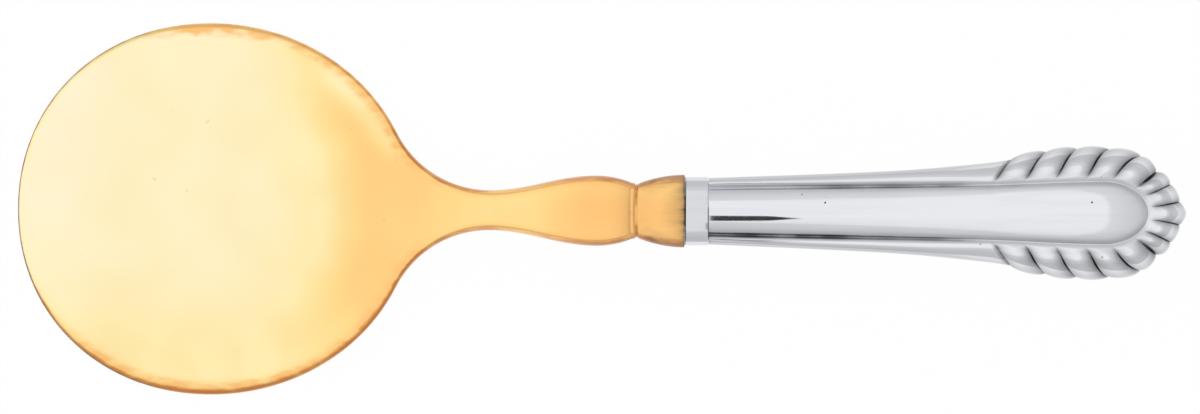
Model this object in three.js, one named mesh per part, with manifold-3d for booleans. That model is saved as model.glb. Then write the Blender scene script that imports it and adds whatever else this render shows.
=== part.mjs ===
// A tomato server: a round gilt blade on a cranked shank, set by its tang into a hollow silver handle.
// Millimetres. +X runs from the blade to the handle's end, +Z is up, and the server lies on Z = 0.
import * as THREE from "three";
import { mergeVertices } from "three/addons/utils/BufferGeometryUtils.js";
import Module from "manifold-3d";

// Blade, seen from above: a full front half-ellipse, a longer rear one and a neck that runs out of it
const bladeWidth = 60.5;
const bladeFrontReach = 31.5; // front edge to the widest line
const bladeFrontFullness = 2.08; // superellipse power of the front half
const bladeBackReach = 33.2; // widest line to where the rear half-ellipse would close
const bladeThickness = 1.5;
const bladeEdgeRun = 0.8; // how far the rounded edge reaches in
const bladeTipShare = 0.04; // share of that run where the first ring of the front edge stands
const bladeTipAngle = 0.04; // radians round the front edge from its middle to the first ring
const edgeLimit = 0.45; // an edge takes at most this share of the width
const heelStart = 0.68; // share of the rear ellipse that stays flat before the heel turns up
const heelFullAngle = 32; // degrees off the axis up to which the heel turns up fully
const heelFadeAngle = 70; // degrees off the axis where the rim is flat again

// Shank and bolster, from the neck to the shoulder that meets the handle
const neckReach = 45.4; // widest line of the blade to the narrowest point of the neck
const neckWidth = 6.5;
const neckThickness = 4;
const neckEdgeRun = 0.9;
const swellLength = 17.4; // neck to the widest point of the swell
const swellWidth = 11.4;
const swellThickness = 6.6;
const swellEdgeRun = 1;
const waistLength = 6.4; // swell to the notch
const waistWidth = 8.6;
const waistThickness = 5.2;
const bolsterLength = 7.9; // notch to the shoulder
const bolsterEdgeRun = 1.4;
const bolsterBevel = 0.25;

// Tang
const tangLength = 50;
const tangWidth = 5;
const tangThickness = 2.6;
const tangEndWidth = 3;
const tangEndThickness = 1.8;
const tangEdgeRun = 0.6;

// Ferrule
const ferruleLength = 3.7;
const ferruleWidth = 11.2;
const ferruleThickness = 8.2;
const ferruleWall = 0.8;
const ferruleBevel = 0.25;
const ferruleLip = 0.3; // step down to the handle's mouth, and up to the bolster

// Handle, from its mouth behind the ferrule to its tip
const handleLength = 77.6;
const gripReach = 30; // mouth to the middle of the grip
const gripWidth = 13.3;
const gripThickness = 8.2;
const shoulderReach = 45; // mouth to where the border opens out
const shoulderWidth = 16;
const shoulderThickness = 9.3;
const endReach = 61; // mouth to the widest line of the end
const endWidth = 20.2;
const endThickness = 11;
const tipFullness = 3.8; // how late the plan runs in to its point
const tipRoundness = 1; // 1 gives a blunt point, 0.5 a round end
const tipDepthFullness = 2.6; // the same two for the thickness
const tipDepthRoundness = 0.5;
const handleWall = 0.8;
const tipWall = 5; // solid metal left at the tip
const handleSquareness = 2.4; // superellipse power of the handle's section
const gripFullness = 3.4; // how late the border rounds over to the seam along the grip
const endFullness = 2.4; // the same at the ornament
const ferruleSquareness = 4.2;

// Plain panel along the handle, with the arch that closes it
const panelMouthWidth = 7.6;
const panelShoulderWidth = 9;
const panelEndWidth = 10.2;
const archReach = 64; // mouth to the centre of the arch
const archLength = 7.2;
const grooveDepth = 0.4;
const grooveRun = 0.45;
const beadHeight = 0.5; // bead along the plain part of the border
const beadEnd = 0.8; // run over which the bead dies into the first lobe

// Gadrooned border and the fluted shell at the tip
const gadroonStart = 46; // mouth to the first lobe
const gadroonCount = 5;
const gadroonHeight = 0.8;
const gadroonSlant = 4; // how far a lobe leans towards the tip on its way out
const shellAngle = 76; // degrees that the shell takes up around the tip
const shellFlutes = 5;
const shellHeight = 1.1;
const fluteDepth = 0.5;
const bossSquareness = 12; // how abruptly the shell ends at its sides
const riseShare = 0.5; // share of the border over which the ornament rises to its full height

// Joint clearances
const solderGap = 0.1;
const cementGap = 0.3;

// Fineness of the facets
const frontSteps = 14;
const rearSteps = 9;
const neckSteps = 9;
const swellSteps = 7;
const notchSteps = 5;
const bolsterSteps = 5;
const tangSteps = 3;
const plainSteps = 11;
const hollowSteps = 14;
const ringFlatSteps = 8;
const ringEdgeSteps = 6;
const ovalSteps = 32;
const lobeSteps = 8;
const panelRows = 4;
const borderRows = 7;
const rimSamples = 400; // points of the rear ellipse that the neck's fillet is tried on
const halvings = 50; // steps of each search for a touching point

// Stations along the server, from the blade's front edge, and the sizes that follow the ferrule
const xCentre = bladeFrontReach;
const xNeck = xCentre + neckReach;
const xSwell = xNeck + swellLength;
const xWaist = xSwell + waistLength;
const xShoulder = xWaist + bolsterLength;
const xFerrule = xShoulder + solderGap;
const xMouth = xFerrule + ferruleLength + solderGap;
const xTip = xMouth + handleLength;
const mouthWidth = ferruleWidth - 2 * ferruleLip;
const mouthThickness = ferruleThickness - 2 * ferruleLip;
const bolsterWidth = ferruleWidth + 2 * ferruleLip;
const bolsterThickness = ferruleThickness + 2 * ferruleLip;
const axisHeight = endThickness / 2;
const crank = axisHeight - bladeThickness / 2; // how far the shank stands above the blade

const { clamp, degToRad, lerp, smoothstep } = THREE.MathUtils;

const wasm = await Module();
wasm.setup();

function toSolid(geometry) {
  const bare = new THREE.BufferGeometry();
  bare.setAttribute("position", geometry.getAttribute("position").clone());
  if (geometry.index) bare.setIndex(geometry.index.clone());
  const merged = mergeVertices(bare);
  const triVerts = new Uint32Array(merged.index.array);
  const vertProperties = merged.getAttribute("position").array;
  return new wasm.Manifold(new wasm.Mesh({ numProp: 3, vertProperties, triVerts }));
}

function toGeometry(solid) {
  const mesh = solid.getMesh();
  const geometry = new THREE.BufferGeometry();
  geometry.setAttribute("position", new THREE.BufferAttribute(mesh.vertProperties, 3));
  geometry.setIndex(new THREE.BufferAttribute(mesh.triVerts, 1));
  return geometry;
}

// An indexed geometry from points and triangles, with shared points merged and collapsed triangles dropped.
function surface(points, triangles) {
  const geometry = new THREE.BufferGeometry().setFromPoints(points);
  geometry.setIndex(triangles);
  const merged = mergeVertices(geometry, 1e-4);
  const kept = [];
  for (let i = 0; i < merged.index.count; i += 3) {
    const [a, b, c] = [0, 1, 2].map((corner) => merged.index.getX(i + corner));
    if (a !== b && b !== c && c !== a) kept.push(a, b, c);
  }
  merged.setIndex(kept);
  return merged;
}

// Skins rings of equal length that follow each other along +X, and closes both ends.
function loft(rings) {
  const count = rings[0].length;
  const points = rings.flat();
  const triangles = [];
  const at = (ring, step) => ring * count + (step % count);
  for (let ring = 0; ring + 1 < rings.length; ring++) {
    for (let step = 0; step < count; step++) {
      const near = [at(ring, step), at(ring, step + 1)];
      const far = [at(ring + 1, step), at(ring + 1, step + 1)];
      triangles.push(near[0], far[0], near[1], near[1], far[0], far[1]);
    }
  }
  const capCentre = (ring) =>
    ring.reduce((sum, p) => sum.add(p), new THREE.Vector3()).divideScalar(count);
  const last = rings.length - 1;
  const front = points.push(capCentre(rings[0])) - 1;
  const back = points.push(capCentre(rings[last])) - 1;
  for (let step = 0; step < count; step++) {
    triangles.push(front, at(0, step), at(0, step + 1));
    triangles.push(back, at(last, step + 1), at(last, step));
  }
  return surface(points, triangles);
}

// A curve through [x, value] stations that never overshoots them and arrives level at the last one.
function profileThrough(stations) {
  const last = stations.length - 1;
  const secant = (i) => (stations[i + 1][1] - stations[i][1]) / (stations[i + 1][0] - stations[i][0]);
  const slopes = stations.map((_, i) => {
    if (i === last) return 0;
    if (i === 0) return secant(0);
    const [before, after] = [secant(i - 1), secant(i)];
    return before * after <= 0 ? 0 : (2 * before * after) / (before + after);
  });
  return (x) => {
    const passed = stations.filter(([start]) => start <= x).length;
    const i = clamp(passed - 1, 0, last - 1);
    const [[x0, v0], [x1, v1]] = [stations[i], stations[i + 1]];
    const run = x1 - x0;
    const t = clamp((x - x0) / run, 0, 1);
    const rise = v0 * (1 + 2 * t) * (1 - t) ** 2 + v1 * t * t * (3 - 2 * t);
    return rise + run * (slopes[i] * t * (1 - t) ** 2 - slopes[i + 1] * t * t * (1 - t));
  };
}

// Evenly spaced values from one end to the other, both included.
function spaced(from, to, steps) {
  return Array.from({ length: steps + 1 }, (_, i) => lerp(from, to, i / steps));
}

// Blade outline

// The radius of the neck's fillet: its arc is level at the neck and touches the rear half-ellipse.
function neckFillet() {
  const rim = spaced(0, Math.PI / 2, rimSamples).map(
    (a) => new THREE.Vector2(bladeBackReach * Math.sin(a), (bladeWidth / 2) * Math.cos(a)),
  );
  const centre = (radius) => new THREE.Vector2(neckReach, neckWidth / 2 + radius);
  const touch = (radius) => {
    const gap = (p) => p.distanceTo(centre(radius));
    return rim.reduce((best, p) => (gap(p) < gap(best) ? p : best));
  };
  let [low, high] = [0, neckReach + bladeWidth];
  for (let i = 0; i < halvings; i++) {
    const radius = (low + high) / 2;
    if (touch(radius).distanceTo(centre(radius)) > radius) low = radius;
    else high = radius;
  }
  return { radius: low, from: xCentre + touch(low).x };
}

const fillet = neckFillet();

function bladeHalfWidth(x) {
  if (x < xCentre) {
    const share = (xCentre - x) / bladeFrontReach;
    return (bladeWidth / 2) * (1 - share ** bladeFrontFullness) ** (1 / bladeFrontFullness);
  }
  if (x <= fillet.from) return (bladeWidth / 2) * Math.sqrt(1 - ((x - xCentre) / bladeBackReach) ** 2);
  return neckWidth / 2 + fillet.radius - Math.sqrt(fillet.radius ** 2 - (xNeck - x) ** 2);
}

// The shank swells in an S-curve, rounds in to the notch and flares out of it to the shoulder.
function shankShape(x, neck, swell, waist, bolster) {
  if (x <= xNeck) return neck;
  if (x <= xSwell) return lerp(neck, swell, (1 - Math.cos((Math.PI * (x - xNeck)) / swellLength)) / 2);
  if (x <= xWaist) return lerp(swell, waist, ((x - xSwell) / waistLength) ** 2);
  return lerp(bolster, waist, ((xShoulder - x) / bolsterLength) ** 2);
}

// How much of the crank a point of the blade has: the heel turns up in arcs around the blade's middle.
function heelLift(x, y) {
  const along = (x - xCentre) / bladeBackReach;
  const reach = Math.hypot(along, y / (bladeWidth / 2));
  const neckShare = neckReach / bladeBackReach;
  const angle = Math.atan2(Math.abs(y) / (bladeWidth / 2), along);
  const turned = 1 - smoothstep(angle, degToRad(heelFullAngle), degToRad(heelFadeAngle));
  return crank * smoothstep(reach, heelStart, neckShare) * turned;
}

// A flat section with rounded edges, run round from its top left corner.
function plateRing(x, width, thickness, edgeRun, middle, lift = () => 0) {
  const flat = width / 2 - edgeRun;
  const ring = [];
  for (const side of [1, -1]) {
    for (const y of spaced(-flat, flat, ringFlatSteps)) ring.push([side * y, (side * thickness) / 2]);
    for (const turn of spaced(0, Math.PI, ringEdgeSteps).slice(1, -1)) {
      ring.push([side * (flat + edgeRun * Math.sin(turn)), (side * thickness * Math.cos(turn)) / 2]);
    }
  }
  return ring.map(([y, z]) => new THREE.Vector3(x, y, middle + lift(x, y) + z));
}

function bladeRing(x) {
  const heel = smoothstep(x, xCentre + heelStart * bladeBackReach, xNeck);
  const run = Math.min(1, x / bladeEdgeRun + bladeTipShare); // the front edge is rounded too
  const rounded = Math.sqrt(1 - (1 - run) ** 2);
  const width = 2 * bladeHalfWidth(x);
  const edgeRun = Math.min(lerp(bladeEdgeRun, neckEdgeRun, heel), width * edgeLimit);
  const thickness = lerp(bladeThickness, neckThickness, heel) * rounded;
  return plateRing(x, width, thickness, edgeRun, bladeThickness / 2, heelLift);
}

function shankRing(x, inset = 0) {
  const width = shankShape(x, neckWidth, swellWidth, waistWidth, bolsterWidth);
  const thickness = shankShape(x, neckThickness, swellThickness, waistThickness, bolsterThickness);
  const edgeRun = shankShape(x, neckEdgeRun, swellEdgeRun, swellEdgeRun, bolsterEdgeRun);
  return plateRing(x, width - 2 * inset, thickness - 2 * inset, edgeRun - inset, axisHeight);
}

// The tang from the shoulder to its end, grown by a margin all round.
function tangRings(margin) {
  return spaced(0, 1, tangSteps).map((share) =>
    plateRing(
      xShoulder + share * (tangLength + margin),
      lerp(tangWidth, tangEndWidth, share) + 2 * margin,
      lerp(tangThickness, tangEndThickness, share) + 2 * margin,
      tangEdgeRun + margin,
      axisHeight,
    ),
  );
}

function bladeGeometry() {
  const turns = spaced(bladeTipAngle, Math.PI / 2, frontSteps);
  const front = turns.map((a) => xCentre - bladeFrontReach * Math.cos(a));
  const rear = spaced(xCentre, fillet.from, rearSteps).slice(1);
  const neck = spaced(fillet.from, xNeck, neckSteps).slice(1);
  const swell = spaced(xNeck, xSwell, swellSteps).slice(1);
  const notch = spaced(xSwell, xWaist, notchSteps).slice(1);
  const bolster = spaced(xWaist, xShoulder - bolsterBevel, bolsterSteps).slice(1);
  return loft([
    ...[...front, ...rear, ...neck].map(bladeRing),
    ...[...swell, ...notch, ...bolster].map((x) => shankRing(x)),
    shankRing(xShoulder, bolsterBevel),
    ...tangRings(0),
  ]);
}

// Handle body

const bodyLength = handleLength - shellHeight; // the shell's middle flute reaches the rest of the way

function taperedIn(profile, fullness, roundness) {
  return (x) => {
    if (x <= endReach) return profile(x);
    const t = clamp((x - endReach) / (bodyLength - endReach), 0, 1);
    return profile(endReach) * (1 - t ** fullness) ** roundness;
  };
}

const halfPlan = taperedIn(
  profileThrough([
    [0, mouthWidth / 2],
    [gripReach, gripWidth / 2],
    [shoulderReach, shoulderWidth / 2],
    [endReach, endWidth / 2],
  ]),
  tipFullness,
  tipRoundness,
);
const halfDepth = taperedIn(
  profileThrough([
    [0, mouthThickness / 2],
    [gripReach, gripThickness / 2],
    [shoulderReach, shoulderThickness / 2],
    [endReach, endThickness / 2],
  ]),
  tipDepthFullness,
  tipDepthRoundness,
);
const halfPanel = profileThrough([
  [0, panelMouthWidth / 2],
  [shoulderReach, panelShoulderWidth / 2],
  [archReach, panelEndWidth / 2],
]);

// An oval section, run round from its left side over the top.
function ovalRing(x, halfWidth, halfThickness, power) {
  const bent = (value) => Math.sign(value) * Math.abs(value) ** (2 / power);
  return spaced(0, 2 * Math.PI, ovalSteps)
    .slice(0, -1)
    .map((a) => new THREE.Vector3(x, -halfWidth * bent(Math.cos(a)), halfThickness * bent(Math.sin(a))));
}

// Columns of the skin run from the middle of the panel out to the seam. Below 0 a column stands square to
// the handle, that far before the arch's centre. Above 0 the columns fan out around that centre to the tip.
const fanRadius = (panelEndWidth + endWidth) / 4;
const fanEnd = fanRadius * (Math.PI / 2);
const shellStart = fanEnd - fanRadius * degToRad(shellAngle / 2);
const borderStart = gadroonStart - archReach;

function columnRay(column) {
  const angle = Math.max(0, column) / fanRadius;
  const foot = archReach + Math.min(0, column);
  return { foot, across: Math.cos(angle), along: Math.sin(angle) };
}

function grooveReach({ foot, across, along }) {
  const half = halfPanel(foot);
  return 1 / Math.hypot(across / half, along / archLength);
}

function seamReach({ foot, across, along }) {
  let [low, high] = [0, bodyLength];
  for (let i = 0; i < halvings; i++) {
    const reach = (low + high) / 2;
    const inside = reach * across < halfPlan(foot + reach * along) && foot + reach * along < bodyLength;
    if (inside) low = reach;
    else high = reach;
  }
  return low;
}

function crownHeight({ foot, across, along }, reach) {
  const x = foot + reach * along;
  const fallen = Math.min(1, (reach * across) / halfPlan(x)) ** handleSquareness;
  return halfDepth(x) * (1 - fallen) ** (1 / handleSquareness);
}

// A point of the handle's top, before its relief. Border share runs from 0 at the groove to 1 at the seam.
function skinPoint(column, panelShare, borderShare) {
  const leanRoom = smoothstep(column, borderStart - gadroonSlant, borderStart);
  const leanFade = 1 - smoothstep(column, shellStart - 2 * gadroonSlant, shellStart);
  const ray = columnRay(column + gadroonSlant * borderShare * leanRoom * leanFade);
  const groove = grooveReach(ray);
  const outward = borderShare === 1 ? 1 : Math.sin((borderShare * Math.PI) / 2);
  const reach = groove * panelShare + (seamReach(ray) - groove) * outward;
  const fullness = lerp(gripFullness, endFullness, smoothstep(column, gripReach - archReach, borderStart));
  const height = crownHeight(ray, groove * panelShare) * (1 - outward ** fullness) ** (1 / fullness);
  return new THREE.Vector3(ray.foot + reach * ray.along, reach * ray.across, height);
}

const lobeLength = (shellStart - borderStart) / gadroonCount;
const fluteLength = (2 * (fanEnd - shellStart)) / shellFlutes;

// A row of rounded lobes with sharp valleys between them: 0 in a valley, 1 on a crest.
function lobe(phase) {
  const offset = 2 * (phase - Math.floor(phase)) - 1;
  return Math.sqrt(Math.max(0, 1 - offset * offset));
}

// How far the ornament stands off the skin.
function relief(column, panelShare, borderShare, grooveGap) {
  const groove = -grooveDepth * Math.exp(-((grooveGap / grooveRun) ** 2));
  if (panelShare < 1) return groove;
  if (column < borderStart) return groove + beadHeight * Math.sin(borderShare * Math.PI);
  const rise = smoothstep(borderShare, 0, riseShare);
  if (column < shellStart) return groove + gadroonHeight * rise * lobe((column - borderStart) / lobeLength);
  const boss = 1 - ((fanEnd - column) / (fanEnd - shellStart)) ** bossSquareness;
  const flute = 1 - lobe((column - fanEnd) / fluteLength + 0.5);
  return groove + rise * boss * (shellHeight - fluteDepth * flute);
}

function handleColumns() {
  const plain = spaced(-archReach, borderStart - beadEnd, plainSteps);
  const lobes = spaced(borderStart, shellStart, gadroonCount * lobeSteps).slice(0, -1);
  const flutes = spaced(shellStart, fanEnd, Math.round((shellFlutes * lobeSteps) / 2));
  return [...plain, ...lobes, ...flutes];
}

// The whole outer skin, both faces, with its relief, as one closed body.
function handleBody() {
  const rows = [
    ...spaced(0, Math.PI / 2, panelRows).map((turn) => [Math.sin(turn), 0]),
    ...spaced(0, 1, borderRows).slice(1).map((share) => [1, share]),
  ];
  const half = handleColumns();
  const columns = [
    ...half.map((column) => [column, 1]),
    ...half.slice(0, -1).reverse().map((column) => [column, -1]),
  ];
  const points = [];
  const heights = [];
  for (const [column, hand] of columns) {
    for (const [panelShare, borderShare] of rows) {
      const point = skinPoint(column, panelShare, borderShare);
      const gap = point.distanceTo(skinPoint(column, 1, 0));
      const height = relief(column, panelShare, borderShare, gap);
      for (const face of [1, -1]) {
        points.push(new THREE.Vector3(point.x, hand * point.y, face * point.z));
        heights.push(height);
      }
    }
  }
  const at = (column, row, face) => 2 * (column * rows.length + row) + face;
  const triangles = [];
  const quad = (a, b, c, d, face) =>
    triangles.push(...(face ? [a, c, b, b, c, d] : [a, b, c, b, d, c]));
  for (const face of [0, 1]) {
    for (let column = 0; column + 1 < columns.length; column++) {
      for (let row = 0; row + 1 < rows.length; row++) {
        const near = [at(column, row, face), at(column + 1, row, face)];
        const far = [at(column, row + 1, face), at(column + 1, row + 1, face)];
        quad(near[0], near[1], far[0], far[1], face);
      }
    }
  }
  const mouth = points.push(new THREE.Vector3()) - 1;
  heights.push(0);
  const last = columns.length - 1;
  for (let row = 0; row + 1 < rows.length; row++) {
    triangles.push(mouth, at(0, row, 0), at(0, row + 1, 0));
    triangles.push(mouth, at(0, row + 1, 1), at(0, row, 1));
    triangles.push(mouth, at(last, row + 1, 0), at(last, row, 0));
    triangles.push(mouth, at(last, row, 1), at(last, row + 1, 1));
  }
  return surface(raised(points, triangles, heights), triangles);
}

// Moves each point along the skin's normal by its height. Points that share a place share a normal, and the
// flat mouth doesn't tilt the rim's.
function raised(points, triangles, heights) {
  const key = (p) => p.toArray().map((value) => Math.round(value * 1e3)).join();
  const normals = new Map(points.map((p) => [key(p), new THREE.Vector3()]));
  const facet = new THREE.Triangle();
  const normal = new THREE.Vector3();
  for (let i = 0; i < triangles.length; i += 3) {
    facet.set(...[0, 1, 2].map((corner) => points[triangles[i + corner]]));
    const flatMouth = [facet.a, facet.b, facet.c].every((p) => p.x === 0);
    if (facet.getArea() < 1e-9 || flatMouth) continue;
    facet.getNormal(normal).multiplyScalar(facet.getArea());
    for (const p of [facet.a, facet.b, facet.c]) normals.get(key(p)).add(normal);
  }
  return points.map((p, i) => {
    const outward = normals.get(key(p)).clone();
    if (p.x === 0) outward.x = 0;
    return p.clone().addScaledVector(outward.normalize(), heights[i]);
  });
}

// Handle pieces

const spigotHalfWidth = ferruleWidth / 2 - ferruleWall - solderGap;
const spigotHalfThickness = ferruleThickness / 2 - ferruleWall - solderGap;
const spigotFront = xFerrule - xMouth;
const cavityEnd = bodyLength - tipWall;

function spigot() {
  const ring = (x) => ovalRing(x, spigotHalfWidth, spigotHalfThickness, ferruleSquareness);
  return loft([ring(spigotFront), ring(handleWall)]);
}

// The hollow of the handle, drawn in from its walls by a margin, from a given front to behind the tip.
function hollow(front, margin, end) {
  const inset = handleWall + margin;
  const spigotRing = (x) =>
    ovalRing(x, spigotHalfWidth - inset, spigotHalfThickness - inset, ferruleSquareness);
  const bodyRing = (x) => ovalRing(x, halfPlan(x) - inset, halfDepth(x) - inset, handleSquareness);
  const body = spaced(handleWall * 2 + margin, end, hollowSteps);
  return loft([spigotRing(front), spigotRing(handleWall), ...body.map(bodyRing)]);
}

function handleShell() {
  const reach = bodyLength * 2;
  const upperHalf = new THREE.BoxGeometry(reach, reach, reach);
  upperHalf.translate(bodyLength / 2, 0, reach / 2 + solderGap / 2);
  const whole = toSolid(handleBody()).add(toSolid(spigot()));
  const opening = hollow(spigotFront - handleWall, 0, cavityEnd);
  return toGeometry(whole.intersect(toSolid(upperHalf)).subtract(toSolid(opening)));
}

function ferruleGeometry() {
  const ring = (x, inset) =>
    ovalRing(x, ferruleWidth / 2 - inset, ferruleThickness / 2 - inset, ferruleSquareness);
  const band = loft([
    ring(0, ferruleBevel),
    ring(ferruleBevel, 0),
    ring(ferruleLength - ferruleBevel, 0),
    ring(ferruleLength, ferruleBevel),
  ]);
  const bore = loft([ring(-ferruleWall, ferruleWall), ring(ferruleLength + ferruleWall, ferruleWall)]);
  return toGeometry(toSolid(band).subtract(toSolid(bore)));
}

function cementGeometry() {
  const filling = hollow(spigotFront + cementGap, cementGap, cavityEnd - cementGap);
  const slot = loft(tangRings(cementGap));
  slot.translate(-xMouth, 0, -axisHeight);
  return toGeometry(toSolid(filling).subtract(toSolid(slot)));
}

// Materials
const gilt = new THREE.MeshStandardMaterial({ color: 0xf3c566, roughness: 0.22, metalness: 1 });
const silver = new THREE.MeshStandardMaterial({ color: 0xdcdde1, roughness: 0.18, metalness: 1 });
const cement = new THREE.MeshStandardMaterial({ color: 0x4a3426, roughness: 0.8, metalness: 0 });

function piece(name, geometry, material) {
  const mesh = new THREE.Mesh(geometry, material);
  mesh.name = name;
  return mesh;
}

// Assembly, with the origin under the middle of the server's length
const server = new THREE.Group();
server.position.x = -xTip / 2;
server.add(piece("blade", bladeGeometry(), gilt));

const ferrule = piece("ferrule", ferruleGeometry(), silver);
ferrule.position.set(xFerrule, 0, axisHeight);
server.add(ferrule);

const handle = new THREE.Group();
handle.position.set(xMouth, 0, axisHeight);
const shell = handleShell();
const backShell = piece("handle_back_shell", shell, silver);
backShell.rotation.x = Math.PI;
handle.add(piece("handle_front_shell", shell, silver), backShell);
handle.add(piece("handle_cement", cementGeometry(), cement));
server.add(handle);

const part = new THREE.Group();
part.add(server);

export default part;
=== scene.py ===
import math

import bmesh
import bpy
from mathutils import Matrix, Vector


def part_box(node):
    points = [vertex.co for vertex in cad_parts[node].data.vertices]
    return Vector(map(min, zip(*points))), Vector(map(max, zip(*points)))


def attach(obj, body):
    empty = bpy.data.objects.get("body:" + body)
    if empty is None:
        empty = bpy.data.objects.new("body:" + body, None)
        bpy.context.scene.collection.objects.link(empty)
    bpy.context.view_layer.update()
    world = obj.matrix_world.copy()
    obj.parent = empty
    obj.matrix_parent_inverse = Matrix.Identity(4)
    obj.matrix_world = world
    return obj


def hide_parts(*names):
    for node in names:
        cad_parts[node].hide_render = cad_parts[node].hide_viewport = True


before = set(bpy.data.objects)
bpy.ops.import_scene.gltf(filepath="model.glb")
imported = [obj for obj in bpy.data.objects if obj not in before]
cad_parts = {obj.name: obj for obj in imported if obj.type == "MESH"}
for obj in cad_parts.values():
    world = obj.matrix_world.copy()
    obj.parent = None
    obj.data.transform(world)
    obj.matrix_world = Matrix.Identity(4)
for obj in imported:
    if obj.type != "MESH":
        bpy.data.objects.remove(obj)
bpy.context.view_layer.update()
print("frame loaded with", len(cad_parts), "nodes")

millimetre = 0.001  # shapes are worked out in millimetres and scaled to metres when a piece is finished
hair = 1e-6  # a length below this counts as nothing
meetGap = 1e-5  # vertices nearer to each other than this are merged
searchSteps = 40  # halvings in a search for a length


# Small helpers

def mixValues(first, last, share):
    return first + (last - first) * share


def smoothRamp(value, low, high):
    share = min(1, max(0, (value - low) / (high - low)))
    return share * share * (3 - 2 * share)


def smoothFall(value, low, high):
    return 1 - smoothRamp(value, low, high)


def spaced(first, last, steps):
    return [mixValues(first, last, i / steps) for i in range(steps + 1)]


def bell(distance, reach):
    return math.exp(-((distance / reach) ** 2))


# A curve through [x, value] stations that never overshoots them and arrives level at the last one
def curveThrough(stations):
    last = len(stations) - 1
    secants = [(b[1] - a[1]) / (b[0] - a[0]) for a, b in zip(stations, stations[1:])]
    slopes = [secants[0]]
    for before, after in zip(secants, secants[1:]):
        slopes.append(0 if before * after <= 0 else 2 * before * after / (before + after))
    slopes.append(0)

    def valueAt(x):
        i = min(last - 1, max(0, sum(1 for station in stations if station[0] <= x) - 1))
        run = stations[i + 1][0] - stations[i][0]
        t = min(1, max(0, (x - stations[i][0]) / run))
        value = stations[i][1] * (1 + 2 * t) * (1 - t) ** 2 + stations[i + 1][1] * t * t * (3 - 2 * t)
        return value + run * (slopes[i] * t * (1 - t) ** 2 - slopes[i + 1] * t * t * (1 - t))

    return valueAt


# Material helpers

def startMaterial(name):
    material = bpy.data.materials.new(name)
    material.use_nodes = True
    return material, material.node_tree, material.node_tree.nodes["Principled BSDF"]


def addNode(tree, kind, **settings):
    node = tree.nodes.new(kind)
    for key, value in settings.items():
        setattr(node, key, value)
    return node


def feed(tree, socket, value):
    if isinstance(value, bpy.types.NodeSocket):
        tree.links.new(value, socket)
    else:
        socket.default_value = value


def sums(tree, operation, first, second=0.0, clamped=False):
    node = addNode(tree, "ShaderNodeMath", operation=operation, use_clamp=clamped)
    feed(tree, node.inputs[0], first)
    feed(tree, node.inputs[1], second)
    return node.outputs[0]


def between(tree, value, low, high, first=0.0, last=1.0):
    node = addNode(tree, "ShaderNodeMapRange", interpolation_type="SMOOTHSTEP")
    for socket, setting in zip(node.inputs, (value, low, high, first, last)):
        feed(tree, socket, setting)
    return node.outputs[0]


# The Mix node has its colours at inputs 6 and 7 and the blended colour at output 2
def blendColours(tree, share, first, second):
    node = addNode(tree, "ShaderNodeMix", data_type="RGBA")
    feed(tree, node.inputs[0], share)
    feed(tree, node.inputs[6], first)
    feed(tree, node.inputs[7], second)
    return node.outputs[2]


# Lays finishes of a look over a colour, one after another, each by its own share
def layFinishes(tree, look, colour, shares):
    for finish, share in shares.items():
        colour = blendColours(tree, share, colour, (*look[finish], 1))
    return colour


def attribute(tree, name):
    return addNode(tree, "ShaderNodeAttribute", attribute_name=name).outputs["Fac"]


def stretchedNoise(tree, scale, stretch, detail, roughness=0.5):
    coords = addNode(tree, "ShaderNodeTexCoord")
    mapping = addNode(tree, "ShaderNodeMapping")
    mapping.inputs["Scale"].default_value = stretch
    tree.links.new(coords.outputs["Object"], mapping.inputs["Vector"])
    noise = addNode(tree, "ShaderNodeTexNoise")
    noise.inputs["Scale"].default_value = scale
    noise.inputs["Detail"].default_value = detail
    noise.inputs["Roughness"].default_value = roughness
    tree.links.new(mapping.outputs["Vector"], noise.inputs["Vector"])
    return noise.outputs["Fac"]


def tones(tree, value, stops):
    node = addNode(tree, "ShaderNodeValToRGB")
    ramp = node.color_ramp
    while len(ramp.elements) < len(stops):
        ramp.elements.new(0.5)  # moved to its own place below
    for element, (position, colour) in zip(ramp.elements, stops):
        element.position = position
        element.color = (*colour, 1)
    feed(tree, node.inputs["Fac"], value)
    return node.outputs["Color"]


def raiseBumps(tree, height, strength, distance):
    node = addNode(tree, "ShaderNodeBump")
    node.inputs["Strength"].default_value = strength
    node.inputs["Distance"].default_value = distance
    tree.links.new(height, node.inputs["Height"])
    return node.outputs["Normal"]


# Links a metal's colour, its roughness, which clouds vary and the dirt mask raises, and its fine scratches;
# on the gilt that mask also holds painted shade, on the silver painted shade and a painted reflection
def dressMetal(tree, shader, look, colour, cloud, dirt, scratches):
    worn = between(tree, cloud, *look["cloudRoughness"])
    rough = sums(tree, "ADD", worn, sums(tree, "MULTIPLY", dirt, look["dirtRoughness"]))
    tree.links.new(colour, shader.inputs["Base Color"])
    tree.links.new(rough, shader.inputs["Roughness"])
    tree.links.new(raiseBumps(tree, scratches, *look["bumps"]), shader.inputs["Normal"])
    shader.inputs["Metallic"].default_value = 1
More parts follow.
